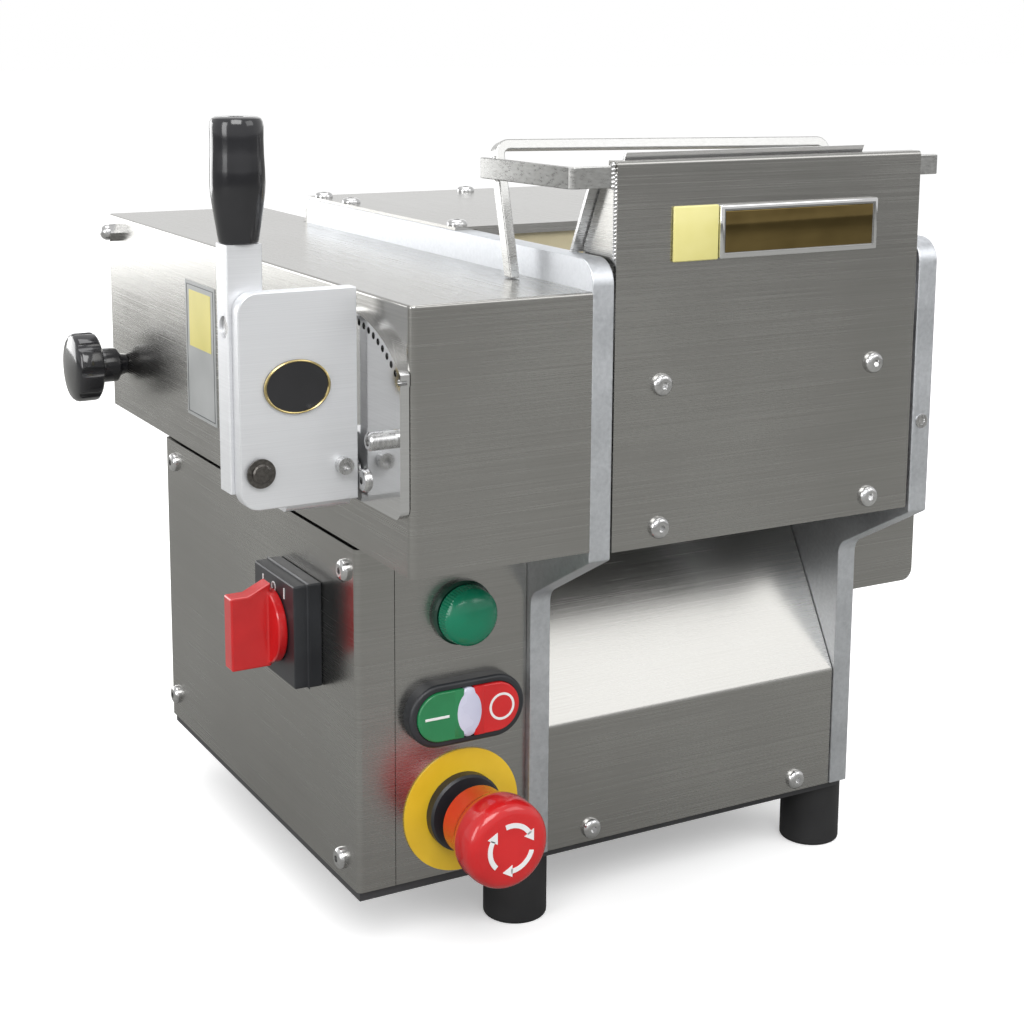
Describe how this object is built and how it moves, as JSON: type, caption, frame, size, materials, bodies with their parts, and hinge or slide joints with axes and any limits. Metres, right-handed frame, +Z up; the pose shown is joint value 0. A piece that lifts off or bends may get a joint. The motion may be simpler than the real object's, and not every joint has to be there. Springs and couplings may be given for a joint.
{
  "type": "dough sheeter",
  "caption": "Bench-top powered dough sheeter: rollers between side plates, side drive casing, gap lever with index sector, lift-off infeed guard and front outfeed chute.",
  "frame": {"origin": "middle of the whole machine's footprint box, on the table", "axes": "+Z up; the operator stands at -Y and dough leaves towards -Y; +X to the operator's right, parallel to the rollers"},
  "size_m": [0.3808, 0.396, 0.3768],
  "materials": {
    "plate_aluminium": "milled, fine matt",
    "dark_base": "dark satin",
    "foot_rubber": "matt",
    "turned_steel": "turned",
    "brushed_case": "satin brushed stainless",
    "satin_bar": "satin",
    "screw_steel": "bright",
    "badge_chrome": "polished",
    "lever_aluminium": "satin anodised",
    "black_gloss": "gloss",
    "mirror_steel": "mirror polished",
    "badge_dark": "gloss",
    "roller_steel": "ground",
    "bronze": "machined",
    "motor_paint": "satin",
    "black_plastic": "fine texture",
    "red_plastic": "semi gloss",
    "green_plastic": "semi gloss",
    "green_lens": "clear gloss",
    "bezel_plastic": "gloss",
    "white_lens": "translucent",
    "yellow_plastic": "satin",
    "label_film": "printed film",
    "cream_plastic": "satin"
  },
  "bodies": {
    "frame": {"base_tray": "dark_base", "button_bezel": "black_plastic", "cable_gland": "black_plastic", "contact_blocks": "black_plastic", "control_panel": "brushed_case", "cover_screws": "screw_steel", "drive_casing": "brushed_case", "drive_chain": "turned_steel", "e_stop_collar": "black_plastic", "e_stop_ring": "yellow_plastic", "fixed_bushes": "bronze", "gearbox": "motor_paint", "index_sector": "mirror_steel", "infeed_apron": "cream_plastic", "lamp_bezel": "bezel_plastic", "lamp_lens": "green_lens", "left_side_plate": "plate_aluminium", "lower_left_cover": "brushed_case", "motor": "motor_paint", "outfeed_chute": "brushed_case", "rear_cover": "brushed_case", "right_end_cover": "brushed_case", "right_side_plate": "plate_aluminium", "rubber_feet": "foot_rubber", "stop_pin": "turned_steel", "switch_body": "black_plastic", "switch_plate": "black_plastic", "tie_rods": "turned_steel", "top_rear_cover": "brushed_case", "warning_label": "label_film", "white_lens": "white_lens"},
    "guard": {"hopper_guard": "brushed_case", "hopper_sheet": "brushed_case", "guard_bar": "satin_bar", "lift_handle": "satin_bar", "guard_screws": "screw_steel", "guard_badges": "badge_chrome"},
    "gap_lever": {"cross_shaft": "turned_steel", "roller_cams": "turned_steel", "lever_hub": "lever_aluminium", "lever_bracket": "lever_aluminium", "tilt_pin": "turned_steel", "bracket_screws": "screw_steel", "bracket_badge": "badge_dark"},
    "lever_arm": {"lever_bar": "lever_aluminium", "lever_grip": "black_gloss", "index_plunger": "turned_steel"},
    "roller_slide": {"bearing_blocks": "bronze"},
    "front_roller": {"adjustable_roller": "roller_steel", "adjustable_gear": "turned_steel"},
    "back_roller": {"fixed_roller": "roller_steel", "fixed_gear": "turned_steel", "driven_sprocket": "turned_steel"},
    "drive_output": {"drive_sprocket": "turned_steel"},
    "switch_turn": {"switch_handle": "red_plastic"},
    "start_key": {"green_button": "green_plastic"},
    "stop_key": {"red_button": "red_plastic"},
    "stop_stem": {"e_stop_stem": "black_plastic"},
    "stop_mushroom": {"e_stop_button": "red_plastic"},
    "clamp_knob": {"lock_knob": "black_gloss"}
  },
  "joints": [
    {"name": "guard_lift", "type": "slide", "parent": "frame", "child": "guard", "axis": [0, 0, 1], "range_m": [0, 0.06]},
    {"name": "lever_swing", "type": "hinge", "parent": "frame", "child": "gap_lever", "pos_m": [-0.0345, -0.14765, 0.228], "axis": [1, 0, 0], "range_deg": [0, 41]},
    {"name": "lever_tilt", "type": "hinge", "parent": "gap_lever", "child": "lever_arm", "pos_m": [-0.1774, -0.14675, 0.236], "axis": [0, -1, 0], "range_deg": [0, 4], "stiffness_Nm_per_rad": 3},
    {"name": "gap_slide", "type": "slide", "parent": "frame", "child": "roller_slide", "axis": [0, -1, 0], "range_m": [0, 0.004]},
    {"name": "front_roller_spin", "type": "hinge", "parent": "roller_slide", "child": "front_roller", "pos_m": [-0.0345, -0.12305, 0.262], "axis": [1, 0, 0], "continuous": true},
    {"name": "back_roller_spin", "type": "hinge", "parent": "frame", "child": "back_roller", "pos_m": [-0.0345, -0.06605, 0.262], "axis": [1, 0, 0], "continuous": true},
    {"name": "drive_output_spin", "type": "hinge", "parent": "frame", "child": "drive_output", "pos_m": [-0.0345, -0.07005, 0.112], "axis": [1, 0, 0], "continuous": true},
    {"name": "switch_turn", "type": "hinge", "parent": "frame", "child": "switch_turn", "pos_m": [-0.0345, -0.08305, 0.145], "axis": [-1, 0, 0], "range_deg": [-45, 45]},
    {"name": "start_press", "type": "slide", "parent": "frame", "child": "start_key", "axis": [0, 1, 0], "range_m": [0, 0.0025], "stiffness_N_per_m": 600},
    {"name": "stop_press", "type": "slide", "parent": "frame", "child": "stop_key", "axis": [0, 1, 0], "range_m": [0, 0.0025], "stiffness_N_per_m": 600},
    {"name": "e_stop_press", "type": "slide", "parent": "frame", "child": "stop_stem", "axis": [0, 1, 0], "range_m": [0, 0.004], "stiffness_N_per_m": 1500},
    {"name": "e_stop_twist", "type": "hinge", "parent": "stop_stem", "child": "stop_mushroom", "pos_m": [-0.0781, -0.15605, 0.0663], "axis": [0, 1, 0], "range_deg": [0, 30], "stiffness_Nm_per_rad": 0.3},
    {"name": "clamp_knob_turn", "type": "hinge", "parent": "frame", "child": "clamp_knob", "pos_m": [-0.1285, 0.17145, 0.222], "axis": [-1, 0, 0], "continuous": true}
  ],
  "couplings": [
    {"joint": "gap_slide", "follows": "lever_swing", "m_per_rad": 0.0055898},
    {"joint": "front_roller_spin", "follows": "back_roller_spin", "ratio": -1},
    {"joint": "drive_output_spin", "follows": "back_roller_spin", "ratio": 1.7}
  ]
}
